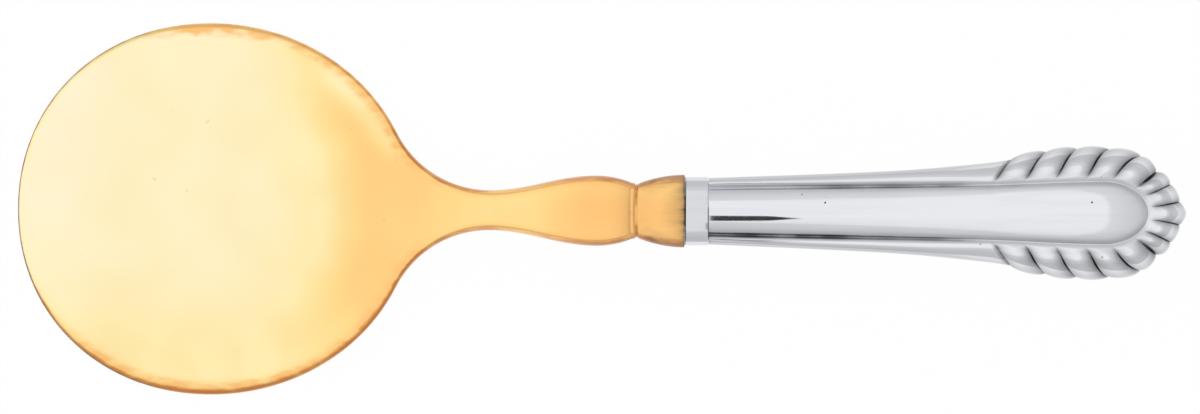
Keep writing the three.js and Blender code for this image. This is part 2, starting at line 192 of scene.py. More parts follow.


# In the looks below a noise is given by its scale, stretch, detail and roughness, a range by two values and
# what they become (0 and 1 where that is left out), and bumps by their strength and their depth in metres.

# Gilding: pale where the blade's flat is worn, rich at the heel and bolster, brown on rims and in creases,
# with painted shade in the brown under the near edge and in the dark along the shank's edges
giltLook = {
    "tones": [
        (0.0, (0.99, 0.88, 0.63)),
        (0.2, (0.99, 0.86, 0.535)),
        (0.36, (0.99, 0.835, 0.44)),
        (0.48, (0.99, 0.765, 0.345)),
        (0.65, (0.985, 0.685, 0.265)),
        (0.78, (0.98, 0.625, 0.235)),
        (1.0, (0.975, 0.558, 0.198)),
    ],
    # Orange for the bands inside the edges
    "edge_orange": (0.95, 0.54, 0.19),
    # Brown for the rims, which also paints the shade under the near edge
    "rim": (0.66, 0.26, 0.075),
    # Dark brown for dirt, which also paints shade along the edges of the shank and bolster
    "grime_and_shade": (0.15, 0.115, 0.08),
    "speck": (0.70, 0.46, 0.18),
    "cloud": (60, (1, 1, 1), 2),
    "cloudTone": (0.25, 0.75, -0.06, 0.06),
    "cloudRoughness": (0.3, 0.7, 0.285, 0.36),
    "patch": (600, (0.35, 1, 1), 5, 0.6),
    "patchOrange": (0.3, 0.7, 0.35, 1.5),
    "orangeRange": (0.12, 1.05),
    "patchRim": (0.25, 0.75, -0.25, 0.25),
    "rimRange": (0.25, 0.95, 0.0, 0.95),
    "streak": (1500, (0.08, 1, 1), 1.5),
    "dirtRange": (0.3, 0.65, 0.7, 1.1),
    "dirtRoughness": 0.25,
    "fleck": (480, (1, 0.7, 1), 1),
    "speckRange": (0.76, 0.82, 0.0, 0.6),
    "bumps": (0.03, 0.00002),
}


def makeGilt():
    material, tree, shader = startMaterial("gilt")
    look = giltLook
    cloud = stretchedNoise(tree, *look["cloud"])
    patch = stretchedNoise(tree, *look["patch"])
    streak = stretchedNoise(tree, *look["streak"])
    fleck = stretchedNoise(tree, *look["fleck"])
    tone = sums(tree, "ADD", attribute(tree, "tone"), between(tree, cloud, *look["cloudTone"]), True)
    blotch = between(tree, patch, *look["patchOrange"])
    edge_orange = between(tree, sums(tree, "MULTIPLY", attribute(tree, "edge_orange"), blotch), *look["orangeRange"])
    ragged = between(tree, patch, *look["patchRim"])
    rim = between(tree, sums(tree, "ADD", attribute(tree, "rim"), ragged), *look["rimRange"])
    streaky = between(tree, streak, *look["dirtRange"])
    dirt = sums(tree, "MULTIPLY", streaky, between(tree, patch, *look["dirtRange"]))
    # The grime mask also holds painted shade along the edges of the shank and bolster
    grime_and_shade = sums(tree, "MULTIPLY", attribute(tree, "grime_and_shade"), dirt, True)
    speck = between(tree, fleck, *look["speckRange"])
    finishes = {"edge_orange": edge_orange, "rim": rim, "grime_and_shade": grime_and_shade, "speck": speck}
    colour = layFinishes(tree, look, tones(tree, tone, look["tones"]), finishes)
    dressMetal(tree, shader, look, colour, cloud, grime_and_shade, streak)
    return material


# Silver: polished and finely brushed, dull in the middle of the ferrule and towards the handle's seam, where
# the dull grey also paints shade on the handle's sides, with a few pits, and with oxide left in the grooves
# and between the lobes, whose dark also paints shade and a thin reflection beside the grooves
silverLook = {
    "bright": (0.76, 0.767, 0.8),
    "soft": (0.726, 0.733, 0.769),
    # Grey for dull silver, which on the handle's sides also paints shade
    "dull_and_shade_grey": (0.58, 0.585, 0.61),
    # Near black for oxide, which also paints shade and a reflection line beside the handle's grooves
    "oxide": (0.05, 0.049, 0.05),
    "brushing": (900, (0.03, 1, 1), 3),
    "softRange": (0.35, 0.7),
    "patch": (420, (0.35, 1, 1), 4),
    "patchOxide": (0.25, 0.6, 0.6, 1.05),
    "pits": (900, (1, 1, 1), 1),
    "pitRange": (0.8, 0.83),
    "cloud": (90, (1, 1, 1), 4),
    "cloudRoughness": (0.3, 0.7, 0.05, 0.09),
    "dirtRoughness": 0.25,
    "bumps": (0.015, 0.00002),
}


def makeSilver():
    material, tree, shader = startMaterial("silver")
    look = silverLook
    brushing = stretchedNoise(tree, *look["brushing"])
    patch = stretchedNoise(tree, *look["patch"])
    pits = stretchedNoise(tree, *look["pits"])
    cloud = stretchedNoise(tree, *look["cloud"])
    soft = between(tree, brushing, *look["softRange"])
    ragged = between(tree, patch, *look["patchOxide"])
    # The oxide mask also holds painted shade and a painted reflection line
    oxide = sums(tree, "MULTIPLY", attribute(tree, "oxide_shade_and_reflection"), ragged, True)
    oxide = sums(tree, "MAXIMUM", oxide, between(tree, pits, *look["pitRange"]))
    finishes = {"soft": soft, "dull_and_shade_grey": attribute(tree, "seam"), "oxide": oxide}
    colour = layFinishes(tree, look, (*look["bright"], 1), finishes)
    dressMetal(tree, shader, look, colour, cloud, oxide, brushing)
    return material


# Cement: brown resin with grit in it
cementLook = {
    "resin": (0.07, 0.035, 0.018),
    "grit": (0.16, 0.10, 0.06),
    "grains": (900, (1, 1, 1), 5, 0.7),
    "gritRange": (0.45, 0.7),
    "roughness": 0.75,
    "bumps": (0.4, 0.0003),
}


def makeCement():
    material, tree, shader = startMaterial("cement")
    look = cementLook
    grains = stretchedNoise(tree, *look["grains"])
    finishes = {"grit": between(tree, grains, *look["gritRange"])}
    tree.links.new(layFinishes(tree, look, (*look["resin"], 1), finishes), shader.inputs["Base Color"])
    shader.inputs["Roughness"].default_value = look["roughness"]
    tree.links.new(raiseBumps(tree, grains, *look["bumps"]), shader.inputs["Normal"])
    return material


gilt = makeGilt()
silver = makeSilver()
cement = makeCement()
print("materials made")


# Mesh helpers

def closeMesh(mesh, gap):
    bmesh.ops.remove_doubles(mesh, verts=mesh.verts, dist=gap)
    bmesh.ops.dissolve_degenerate(mesh, edges=mesh.edges, dist=hair)
    bmesh.ops.recalc_face_normals(mesh, faces=mesh.faces)


# Turns a bmesh into an object of the scene
def addObject(name, mesh, material):
    data = bpy.data.meshes.new(name)
    mesh.to_mesh(data)
    mesh.free()
    data.materials.append(material)
    thing = bpy.data.objects.new(name, data)
    bpy.context.scene.collection.objects.link(thing)
    return thing


# Turns a finished bmesh into a piece that stands for one node of the frame
def finishPiece(name, mesh, node, material, sharpAngle):
    closeMesh(mesh, meetGap)
    for edge in mesh.edges:
        edge.smooth = edge.calc_face_angle(0) < math.radians(sharpAngle)
    for face in mesh.faces:
        face.smooth = True
    bmesh.ops.scale(mesh, vec=Vector((millimetre, millimetre, millimetre)), verts=mesh.verts)
    piece = addObject(name, mesh, material)
    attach(piece, "root")
    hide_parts(node)
    return piece


# Makes a fresh grid and hands out each vertex with its column and row
def gridPlaces(mesh, columns, rows):
    made = bmesh.ops.create_grid(mesh, x_segments=columns - 1, y_segments=rows - 1, size=1)
    for vertex in made["verts"]:
        column = round((vertex.co.x + 1) / 2 * (columns - 1))
        row = round((vertex.co.y + 1) / 2 * (rows - 1))
        yield vertex, column, row


# The ferrule is the datum along the server: the bolster ends just before it and the handle starts behind it
ferruleLow, ferruleHigh = (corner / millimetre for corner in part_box("ferrule"))
solderGap = 0.1
xShoulder = ferruleLow.x - solderGap
xMouth = ferruleHigh.x + solderGap
axisHeight = (ferruleLow.z + ferruleHigh.z) / 2
ferruleHalfWidth = (ferruleHigh.y - ferruleLow.y) / 2
ferruleHalfThickness = (ferruleHigh.z - ferruleLow.z) / 2
ferruleLip = 0.3


# Blade
bladeShape = {
    "halfWidth": 30.25,
    "frontReach": 31.5,
    "frontFullness": 2.08,
    "backReach": 33.2,
    "middleShare": 0.1,  # nearer to the middle than this, the rim counts as a half width away
    "thickness": 1.5,
    "edgeRun": 0.8,
    "heelStart": 0.68,
    "heelFullAngle": 32,
    "heelFadeAngle": 70,
    "neckReach": 45.4,
    "neckHalfWidth": 3.25,
    "neckThickness": 4.0,
    "neckEdgeRun": 0.9,
    "swellLength": 17.4,
    "swellHalfWidth": 5.7,
    "swellThickness": 6.6,
    "swellEdgeRun": 1.0,
    "waistLength": 6.4,
    "waistHalfWidth": 4.3,
    "waistThickness": 5.2,
    "bolsterLength": 7.9,
    "bolsterEdgeRun": 1.4,
    "bolsterBevel": 0.25,
    "beadOffset": -0.3,  # from the waist, as the creases' offsets are
    "beadHeight": 0.07,
    "beadReach": 0.24,
    "deepOffset": 0.2,
    "deepDepth": 0.12,
    "faintOffset": -0.78,
    "faintDepth": 0.03,
    "creaseReach": 0.22,
    "waistBow": 0.22,  # how far the bead and its creases bend towards the blade
    "waistBowReach": 1.8,
    "tangLength": 50.0,
    "tangHalfWidths": (2.5, 1.5),
    "tangThicknesses": (2.6, 1.8),
    "tangEdgeRun": 0.6,
    "rowsAcross": 73,
    "rimSteps": 400,
    "frontColumns": 72,
    "backColumns": 40,
    "filletColumns": 44,
    "swellColumns": 40,
    "taperColumns": 18,
    "closeReach": 1.2,  # columns stand close together this far to each side of the waist
    "closeColumns": 40,
    "bolsterColumns": 26,
    "bevelColumns": 4,
    "tangColumns": 4,
    "sharpAngle": 60,
}
xWaist = xShoulder - bladeShape["bolsterLength"]
xSwell = xWaist - bladeShape["waistLength"]
xNeck = xSwell - bladeShape["swellLength"]
xCentre = xNeck - bladeShape["neckReach"]
xDeep = xWaist + bladeShape["deepOffset"]
xFaint = xWaist + bladeShape["faintOffset"]


# The radius of the neck's fillet, level at the neck and touching the rear half-ellipse, and where it touches
def findFillet():
    shape = bladeShape
    rim = [
        Vector((shape["backReach"] * math.sin(turn), shape["halfWidth"] * math.cos(turn)))
        for turn in spaced(0, math.pi / 2, shape["rimSteps"])
    ]
    low = 0
    high = 4 * shape["neckReach"]  # far more than the fillet needs
    touch = rim[0]
    for _ in range(searchSteps):
        radius = (low + high) / 2
        middle = Vector((shape["neckReach"], shape["neckHalfWidth"] + radius))
        touch = min(rim, key=lambda point: (point - middle).length)
        if (touch - middle).length > radius:
            low = radius
        else:
            high = radius
    return low, xCentre + touch.x


filletRadius, filletStart = findFillet()


def bladeHalfWidth(x):
    shape = bladeShape
    if x < xCentre:
        power = shape["frontFullness"]
        share = min(1, (xCentre - x) / shape["frontReach"])
        return shape["halfWidth"] * (1 - share ** power) ** (1 / power)
    if x <= filletStart:
        return shape["halfWidth"] * math.sqrt(1 - ((x - xCentre) / shape["backReach"]) ** 2)
    return shape["neckHalfWidth"] + filletRadius - math.sqrt(filletRadius ** 2 - (xNeck - x) ** 2)


# Distance from a point of the blade to its outline
def rimDistance(x, y, half):
    shape = bladeShape
    if x <= filletStart:
        front = x < xCentre
        power = shape["frontFullness"] if front else 2  # the rear half is an ellipse
        along = abs(x - xCentre) / shape["frontReach" if front else "backReach"]
        across = abs(y) / shape["halfWidth"]
        gauge = (along ** power + across ** power) ** (1 / power)
        if gauge <= shape["middleShare"]:
            return shape["halfWidth"]
        return math.hypot(x - xCentre, y) * (1 / gauge - 1)
    if x < xNeck:
        return math.hypot(x - xNeck, abs(y) - shape["neckHalfWidth"] - filletRadius) - filletRadius
    return half - abs(y)


# Swells in an S-curve, rounds in to the waist and flares out of it to the shoulder
def shankValue(x, neck, swell, waist, bolster):
    if x <= xSwell:
        turn = math.pi * max(0, x - xNeck) / (xSwell - xNeck)
        return mixValues(neck, swell, (1 - math.cos(turn)) / 2)
    if x <= xWaist:
        return mixValues(swell, waist, ((x - xSwell) / (xWaist - xSwell)) ** 2)
    return mixValues(bolster, waist, ((xShoulder - x) / (xShoulder - xWaist)) ** 2)


# A fine bead in the waist with a crease on each side of it
def waistRelief(x):
    shape = bladeShape
    bead = shape["beadHeight"] * bell(x - xWaist - shape["beadOffset"], shape["beadReach"])
    deep = shape["deepDepth"] * bell(x - xDeep, shape["creaseReach"])
    faint = shape["faintDepth"] * bell(x - xFaint, shape["creaseReach"])
    return bead - deep - faint


# One station of the blade: its place, half width, thickness and rounded edge
def bladeSection(x):
    shape = bladeShape
    if x <= xNeck:
        heel = smoothRamp(x, xCentre + shape["heelStart"] * shape["backReach"], xNeck)
        thickness = mixValues(shape["thickness"], shape["neckThickness"], heel)
        return x, bladeHalfWidth(x), thickness, mixValues(shape["edgeRun"], shape["neckEdgeRun"], heel)
    relief = waistRelief(x)
    half = shankValue(x, shape["neckHalfWidth"], shape["swellHalfWidth"], shape["waistHalfWidth"],
                      ferruleHalfWidth + ferruleLip)
    thickness = shankValue(x, shape["neckThickness"], shape["swellThickness"], shape["waistThickness"],
                           2 * (ferruleHalfThickness + ferruleLip))
    run = shankValue(x, shape["neckEdgeRun"], shape["swellEdgeRun"], shape["swellEdgeRun"],
                     shape["bolsterEdgeRun"])
    return x, half + relief, thickness + 2 * relief, run


def bladeSections():
    shape = bladeShape
    xBevel = xShoulder - shape["bolsterBevel"]
    xClose = xWaist - shape["closeReach"]
    xOpen = xWaist + shape["closeReach"]
    front = spaced(0, math.pi / 2, shape["frontColumns"])
    places = [xCentre - shape["frontReach"] * math.cos(turn) for turn in front]
    for first, last, columns in (
        (xCentre, filletStart, "backColumns"),
        (filletStart, xNeck, "filletColumns"),
        (xNeck, xSwell, "swellColumns"),
        (xSwell, xClose, "taperColumns"),
        (xClose, xOpen, "closeColumns"),
        (xOpen, xBevel, "bolsterColumns"),
    ):
        places += spaced(first, last, shape[columns])[1:]
    sections = [bladeSection(x) for x in places]
    for turn in spaced(0, math.pi / 2, shape["bevelColumns"])[1:]:
        x, half, thickness, run = bladeSection(xBevel + shape["bolsterBevel"] * math.sin(turn))
        inset = shape["bolsterBevel"] * (1 - math.cos(turn))
        sections.append((x, half - inset, thickness - 2 * inset, run - inset))
    for share in spaced(0, 1, shape["tangColumns"]):
        x = xShoulder + share * shape["tangLength"]
        half = mixValues(*shape["tangHalfWidths"], share)
        thickness = mixValues(*shape["tangThicknesses"], share)
        sections.append((x, half, thickness, shape["tangEdgeRun"]))
    sections.append((*sections[-1][:2], 0, shape["tangEdgeRun"]))  # closes the tang's end
    return sections


# How far out a point of the blade lies, as a share of the rear outline, and its angle from the shank
def heelPlace(x, y):
    along = (x - xCentre) / bladeShape["backReach"]
    across = abs(y) / bladeShape["halfWidth"]
    return math.hypot(along, across), math.degrees(math.atan2(across, along))


# The heel turns up out of the flat to the height of the shank
def heelLift(x, y):
    shape = bladeShape
    reach, angle = heelPlace(x, y)
    crank = axisHeight - shape["thickness"] / 2
    rise = smoothRamp(reach, shape["heelStart"], shape["neckReach"] / shape["backReach"])
    return crank * rise * smoothFall(angle, shape["heelFullAngle"], shape["heelFadeAngle"])


# Wear of the gilding. Along is measured from the blade's middle unless a note says otherwise, across from the
# axis to the far side, where y is above 0, or below it to the near side, and a run inwards from the outline.

# How rich the gilding is: 0 on the worn flat, 1 in the middle of the swell
toneWear = {
    "edge": 0.22,
    "edgeRun": (0.4, 1.8),
    "neck": 0.64,
    "swell": 0.98,
    "swellStart": 5,  # behind the neck
    "swellEdge": 0.1,
    "swellEdgeRun": (0.6, 2.4),
    "farSide": 0.16,  # how much paler the sides of the shank are
    "nearSide": 0.05,
    "sideAcross": (1.2, 4.2),
    "flat": 0.19,
    "worn": 0.13,
    "wornBefore": (8, 28),
    "wornAcross": (-10, 8),
    "foot": 0.2,
    "footBelow": (7, 27),
    "heel": 0.76,
    "heelAngles": (32, 76),
    "heelSteps": [(0.25, (0.22, 0.5)), (0.75, (0.52, 0.84))],  # shares of the heel's tone, and their reach
    "paler": 0.1,
    "palerReach": (0.84, 0.95),
    "palerAcross": (6, 12),
    "crown": 0.16,
    "crownRun": 3,
    "crownAlong": (-2, 10),
    "crownAcross": (8, 20),
    "shoulder": 0.2,
    "shoulderInset": 2.6,
    "shoulderRun": 2,
    "shoulderAlong": (15, 22),
    "shoulderAcross": (5, 13),
    "line": 0.95,
    "lineShares": (0.35, 0.85),
    "lineLeast": 0.15,
    "lineAlong": (-14, -4),
    "lineAcross": (0, 12),
    "lineRun": (0.35, 1.0),
    "glow": 0.3,
    "glowRun": 1.6,
    "glowBelow": (8, 22),
    "neckHeel": 0.63,
    "neckReach": (1.05, 1.3),
}


def giltTone(x, y, distance):
    wear = toneWear
    edge = wear["edge"] * smoothFall(distance, *wear["edgeRun"])
    if x > xNeck:
        side = wear["farSide" if y > 0 else "nearSide"] * smoothRamp(abs(y), *wear["sideAcross"])
        swell = smoothRamp(x, xNeck + wear["swellStart"], xSwell)
        line = wear["swellEdge"] * swell * smoothFall(distance, *wear["swellEdgeRun"])
        return mixValues(wear["neck"], wear["swell"] - side, swell) + edge + line
    along = x - xCentre
    reach, angle = heelPlace(x, y)
    worn = wear["worn"] * smoothRamp(-along, *wear["wornBefore"]) * smoothRamp(y, *wear["wornAcross"])
    tone = wear["flat"] - worn + wear["foot"] * smoothRamp(-y, *wear["footBelow"])
    paler = wear["paler"] * smoothRamp(reach, *wear["palerReach"]) * smoothRamp(y, *wear["palerAcross"])
    richer = sum(share * smoothRamp(reach, *run) for share, run in wear["heelSteps"])
    tone = mixValues(tone, wear["heel"] - paler, richer * smoothFall(angle, *wear["heelAngles"]))
    shoulder = smoothRamp(along, *wear["shoulderAlong"])
    crown = wear["crown"] * bell(distance, wear["crownRun"]) * smoothRamp(along, *wear["crownAlong"])
    tone += crown * smoothRamp(y, *wear["crownAcross"]) * (1 - shoulder)
    pale = wear["shoulder"] * bell(distance - wear["shoulderInset"], wear["shoulderRun"])
    tone -= pale * shoulder * smoothRamp(y, *wear["shoulderAcross"])
    line = mixValues(*wear["lineShares"], smoothRamp(along, *wear["lineAlong"]))
    line = max(wear["lineLeast"], line * smoothRamp(y, *wear["lineAcross"]))
    tone = mixValues(tone, wear["line"], line * smoothFall(distance, *wear["lineRun"]))
    tone += wear["glow"] * bell(distance, wear["glowRun"]) * smoothRamp(-y, *wear["glowBelow"])
    return mixValues(tone, wear["neckHeel"] + edge, smoothRamp(reach, *wear["neckReach"]))


# Brown along the edges and in the creases of the waist, broad under the near edge and thin round the front;
# its extra breadth under the near edge is painted shade
rimAndShadeWear = {
    "shankWidth": 1.1,
    "farWidth": 1.2,
    "nearWidth": 1.5,
    "bolsterAlong": (-1, 3),  # from the waist
    "deep": 0.8,
    "deepReach": 0.26,
    "deepMiddle": -0.4,
    "deepAcross": (-2.0, 2.8),
    "faint": 0.4,
    "faintReach": 0.2,
    "faintMiddle": -0.3,
    "faintAcross": 1.2,
    "frontWidth": 0.3,
    "backGain": 0.6,
    "backAlong": (4, 24),
    "farGain": 0.1,
    "farAcross": (18, 29),
    # Painted shade widens the brown under the near edge
    "nearGains": [(0.76, (4, 27)), (0.3, (25.5, 29))],  # gain in width, and how far below the axis
    "strength": 0.95,
    "neckLoss": 0.5,
    "neckPlace": 4,  # behind the neck
    "neckReach": 7,
    "farLoss": 0.42,
    "farLossAcross": (8, 18),
    "farLossAlong": (-22, -10),
    "nearLoss": 0.3,
    "nearLossPlace": 17,
    "nearLossReach": 6,
    "fullShare": 0.3,  # share of the width in which the brown doesn't fade
}


def rimAndShadeTone(x, y, distance):
    wear = rimAndShadeWear
    along = x - xCentre
    crease = 0
    if x > xNeck:
        bolster = smoothRamp(x - xWaist, *wear["bolsterAlong"])
        width = mixValues(wear["shankWidth"], wear["nearWidth" if y < 0 else "farWidth"], bolster)
        deep = wear["deep"] * bell(x - xDeep, wear["deepReach"])
        faint = wear["faint"] * bell(x - xFaint, wear["faintReach"])
        crease = deep * smoothRamp(abs(y - wear["deepMiddle"]), *wear["deepAcross"])
        crease += faint * bell(y - wear["faintMiddle"], wear["faintAcross"])
    else:
        width = wear["frontWidth"] + wear["backGain"] * smoothRamp(along, *wear["backAlong"])
        width += wear["farGain"] * smoothRamp(y, *wear["farAcross"])
        # The brown under the near edge is widened by painted shade
        width += sum(gain * smoothRamp(-y, *below) for gain, below in wear["nearGains"])
    strength = wear["strength"] - wear["neckLoss"] * bell(x - xNeck - wear["neckPlace"], wear["neckReach"])
    if y > 0:
        loss = smoothRamp(y, *wear["farLossAcross"]) * smoothRamp(along, *wear["farLossAlong"])
        strength -= wear["farLoss"] * loss
    else:
        strength -= wear["nearLoss"] * bell(along - wear["nearLossPlace"], wear["nearLossReach"])
    return max(crease, strength * smoothFall(distance, wear["fullShare"] * width, width))


# Orange bands inside the edges
edgeOrangeWear = {
    "shank": 0.5,
    "shankRun": (0.3, 1.8),
    "shankStart": 4,  # behind the neck
    "top": 1.3,
    "topPlace": 1,
    "topReach": 10,
    "foot": 1.1,
    "footBelow": (15, 28),
    "back": 0.8,
    "backAlong": (2, 18),
    "neckFade": (-14, -3),  # from the neck
    "run": (0.6, 2.9),
}


def edgeOrangeTone(x, y, distance):
    wear = edgeOrangeWear
    along = x - xCentre
    if x > xNeck:
        shank = wear["shank"] * smoothFall(distance, *wear["shankRun"])
        return shank * smoothRamp(x, xNeck + wear["shankStart"], xSwell)
    top = wear["top"] * bell(along - wear["topPlace"], wear["topReach"]) if y > 0 else 0
    foot = wear["foot"] * smoothRamp(-y, *wear["footBelow"])
    back = wear["back"] * smoothRamp(along, *wear["backAlong"]) * smoothFall(x - xNeck, *wear["neckFade"])
    return max(top, foot, back) * smoothFall(distance, *wear["run"])


# Dirt on the front rim, in the creases of the waist and at the ferrule, and painted shade darkening the edges
# of the shank and spreading inwards over the bolster
grimeAndShadeWear = {
    "frontAlong": (-14, -2),
    "frontShares": (0.9, 0.6),
    "frontAcross": (2, 16),
    "frontRun": (0.08, 0.3),
    "deep": 0.35,
    "deepMiddle": -0.4,
    "deepAcross": (1, 3),
    "faint": 0.2,
    "faintMiddle": -0.3,
    "faintAcross": 1.1,
    "creaseReach": 0.16,
    "fringe": 0.09,
    "fringeReach": 2.2,
    "film": 0.03,
    "filmAlong": (0, 2),  # from the waist
    # Painted shade along the edges of the shank, darker on the near side, and spreading inwards over the
    # bolster
    "farEdge": 0.22,
    "nearEdge": 0.36,
    "edgeInset": 0.4,
    "edgeRun": 0.3,
    "edgeAlong": (-6, 4),  # from the widest place of the swell
    "shade": 0.3,
    "shadeRun": (0.6, 3.4),
    "shadeAlong": (-0.5, 2.5),  # from the waist
    "haze": 0.65,
    "hazeReach": 1.3,  # before the ferrule, as the smoke and the line are
    "hazeMiddle": -0.6,
    "hazeGain": 0.25,
    "hazeAcross": 2.6,
    "smoke": 0.12,
    "smokePlace": 2.2,
    "smokeReach": 1.5,
    "smokeAcross": 2.4,
    "lineReach": (0.12, 0.3),
}


def grimeAndShadeTone(x, y, distance):
    wear = grimeAndShadeWear
    if x > xShoulder:
        return 0
    if x < xNeck:
        front = smoothFall(x - xCentre, *wear["frontAlong"])
        front *= mixValues(*wear["frontShares"], smoothRamp(y, *wear["frontAcross"]))
        return front * smoothFall(distance, *wear["frontRun"])
    behind = x - xWaist
    deep = wear["deep"] * bell(x - xDeep, wear["creaseReach"])
    deep *= smoothRamp(abs(y - wear["deepMiddle"]), *wear["deepAcross"])
    faint = wear["faint"] * bell(x - xFaint, wear["creaseReach"])
    faint *= bell(y - wear["faintMiddle"], wear["faintAcross"])
    fringe = wear["fringe"] * bell(behind, wear["fringeReach"])
    fringe += wear["film"] * smoothRamp(behind, *wear["filmAlong"])
    # Painted shade along the shank's edges, and broader over the bolster behind the waist
    edge = wear["farEdge" if y > 0 else "nearEdge"] * bell(distance - wear["edgeInset"], wear["edgeRun"])
    edge *= smoothRamp(x - xSwell, *wear["edgeAlong"])
    edge += wear["shade"] * smoothFall(distance, *wear["shadeRun"]) * smoothRamp(behind, *wear["shadeAlong"])
    gap = xShoulder - x
    offAxis = y - wear["hazeMiddle"]
    haze = wear["haze"] + wear["hazeGain"] * bell(offAxis, wear["hazeAcross"])
    haze *= math.exp(-gap / wear["hazeReach"])
    smoke = bell(gap - wear["smokePlace"], wear["smokeReach"]) * bell(offAxis, wear["smokeAcross"])
    haze += wear["smoke"] * smoke
    line = smoothFall(gap, *wear["lineReach"])
    return min(1, max(deep, faint, fringe, haze, line, edge))


bladeLayers = {"tone": giltTone, "rim": rimAndShadeTone, "edge_orange": edgeOrangeTone, "grime_and_shade": grimeAndShadeTone}


def buildBlade():
    shape = bladeShape
    sections = bladeSections()
    mesh = bmesh.new()
    layers = {name: mesh.verts.layers.float.new(name) for name in bladeLayers}
    for side in (1, -1):
        for vertex, column, row in gridPlaces(mesh, len(sections), shape["rowsAcross"]):
            x, half, thickness, run = sections[column]
            turn = math.pi * (row / (shape["rowsAcross"] - 1) - 0.5)
            y = half * math.sin(turn)
            distance = max(0, rimDistance(x, y, half))
            rounded = math.sqrt(1 - (1 - min(1, distance / run)) ** 2)
            middle = shape["thickness"] / 2 + heelLift(x, y)
            bow = 0
            if x > xNeck:
                middle = axisHeight
                bow = shape["waistBow"] * bell(x - xWaist, shape["waistBowReach"]) * (1 - (y / half) ** 2)
            vertex.co = (x - bow, y, middle + side * thickness / 2 * rounded)
            for name, toneAt in bladeLayers.items():
                vertex[layers[name]] = toneAt(x, y, distance)
    return finishPiece("blade_gilt", mesh, "blade", gilt, shape["sharpAngle"])


buildBlade()
print("blade built")


# Ferrule
ferruleShape = {
    "squareness": 4.2,
    "wall": 0.8,
    "bevel": 0.15,
    "bevelSteps": 4,
    "band": 0.17,  # how far from each end a ring holds the bevel
    "sides": 160,
    "dullness": 0.6,
    "dullAcross": (2.6, 4.6),
    "sharpAngle": 50,
}


def ovalPoint(turn, halfWidth, halfThickness, power):
    across = math.cos(turn)
    up = math.sin(turn)
    return Vector((
        0,
        halfWidth * math.copysign(abs(across) ** (2 / power), across),
        halfThickness * math.copysign(abs(up) ** (2 / power), up),
    ))


# A closed ring of edges on an oval, square to the server's axis
def ovalRing(mesh, x, halfWidth, halfThickness, power, sides):
    ring = bmesh.ops.create_circle(mesh, segments=sides, radius=1)["verts"]
    for vertex in ring:
        turn = math.atan2(vertex.co.y, vertex.co.x)
        vertex.co = ovalPoint(turn, halfWidth, halfThickness, power) + Vector((x, 0, axisHeight))
    return list({edge for vertex in ring for edge in vertex.link_edges})


def buildFerrule():
    shape = ferruleShape
    mesh = bmesh.new()
    places = ferruleLow.x, ferruleLow.x + shape["band"], ferruleHigh.x - shape["band"], ferruleHigh.x
    walls = []
    for inset in (0, shape["wall"]):
        halves = ferruleHalfWidth - inset, ferruleHalfThickness - inset
        walls.append([ovalRing(mesh, x, *halves, shape["squareness"], shape["sides"]) for x in places])
    outer, inner = walls
    rings = outer + inner[::-1]
    for first, second in zip(rings, rings[1:] + rings[:1]):
        bmesh.ops.bridge_loops(mesh, edges=first + second)
    bmesh.ops.bevel(mesh, geom=outer[0] + outer[-1], offset=shape["bevel"], segments=shape["bevelSteps"],
                    profile=0.5, affect="EDGES", material=-1)
    mesh.verts.layers.float.new("oxide_shade_and_reflection")
    seam = mesh.verts.layers.float.new("seam")
    for vertex in mesh.verts:
        vertex[seam] = shape["dullness"] * smoothFall(abs(vertex.co.y), *shape["dullAcross"])
    return finishPiece("ferrule_band", mesh, "ferrule", silver, shape["sharpAngle"])


buildFerrule()
print("ferrule built")


# Handle shells, drawn from the mouth at x = 0 and the axis at z = 0
handleShape = {
    "length": 77.6,
    "gripReach": 30.0,
    "gripHalfWidth": 6.65,
    "gripHalfThickness": 4.1,
    "shoulderReach": 45.0,
    "shoulderHalfWidth": 8.0,
    "shoulderHalfThickness": 4.65,
    "endReach": 61.0,
    "endHalfWidth": 10.1,
    "endHalfThickness": 5.5,
    "tipPlan": (3.8, 1),  # fullness and roundness of the tip from above
    "tipDepth": (2.6, 0.5),  # and from the side
    "squareness": 2.4,
    "gripFullness": 3.4,
    "endFullness": 2.4,
    "wall": 0.8,
    "seamGap": 0.03,
    # Towards the seam the dulling also paints shade on the handle's sides
    "seamStarts": (0.5, 0.44),  # border's shares where dulling starts, at the ornament and the grip
    "seamEnds": (0.8, 0.58),  # and where it is fully dull
    "seamChange": 8.0,
    "plainColumns": 72,
    "lobeColumns": 36,
    "panelRows": 12,
    "borderRows": 34,
    "mirrorGap": 1e-4,
    "sharpAngle": 75,
}
panelShape = {
    "mouthHalfWidth": 3.8,
    "shoulderHalfWidth": 4.5,
    "endHalfWidth": 5.1,
    "archReach": 64.0,
    "archLength": 7.2,
    "grooveDepth": 0.34,
    "grooveRun": 0.34,
    "grooveEnd": 0.7,  # share of the depth beside the ornament
    "gripFade": (37.5, 45),
    "beadHeight": 0.3,
    "beadEnd": 0.8,
}
ornamentShape = {
    "gadroonStart": 46.0,
    "gadroonCount": 5,
    "gadroonHeight": 0.8,
    "gadroonSlant": 4.0,
    "shellAngle": 76,
    "shellFlutes": 5,
    "shellHeight": 1.1,
    "shellPower": 12,  # the higher, the squarer the shell's ends
    "fluteDepth": 0.5,
    "rise": (0, 0.5),  # shares of the border over which the ornament rises
}
bodyLength = handleShape["length"] - ornamentShape["shellHeight"]


def handleProfile(mouth, key, fullness, roundness):
    shape = handleShape
    stations = [[0, mouth]]
    for place in ("grip", "shoulder", "end"):
        stations.append([shape[place + "Reach"], shape[place + key]])
    profile = curveThrough(stations)

    def halfAt(x):
        if x <= shape["endReach"]:
            return profile(x)
        t = min(1, (x - shape["endReach"]) / (bodyLength - shape["endReach"]))
        return stations[-1][1] * (1 - t ** fullness) ** roundness

    return halfAt


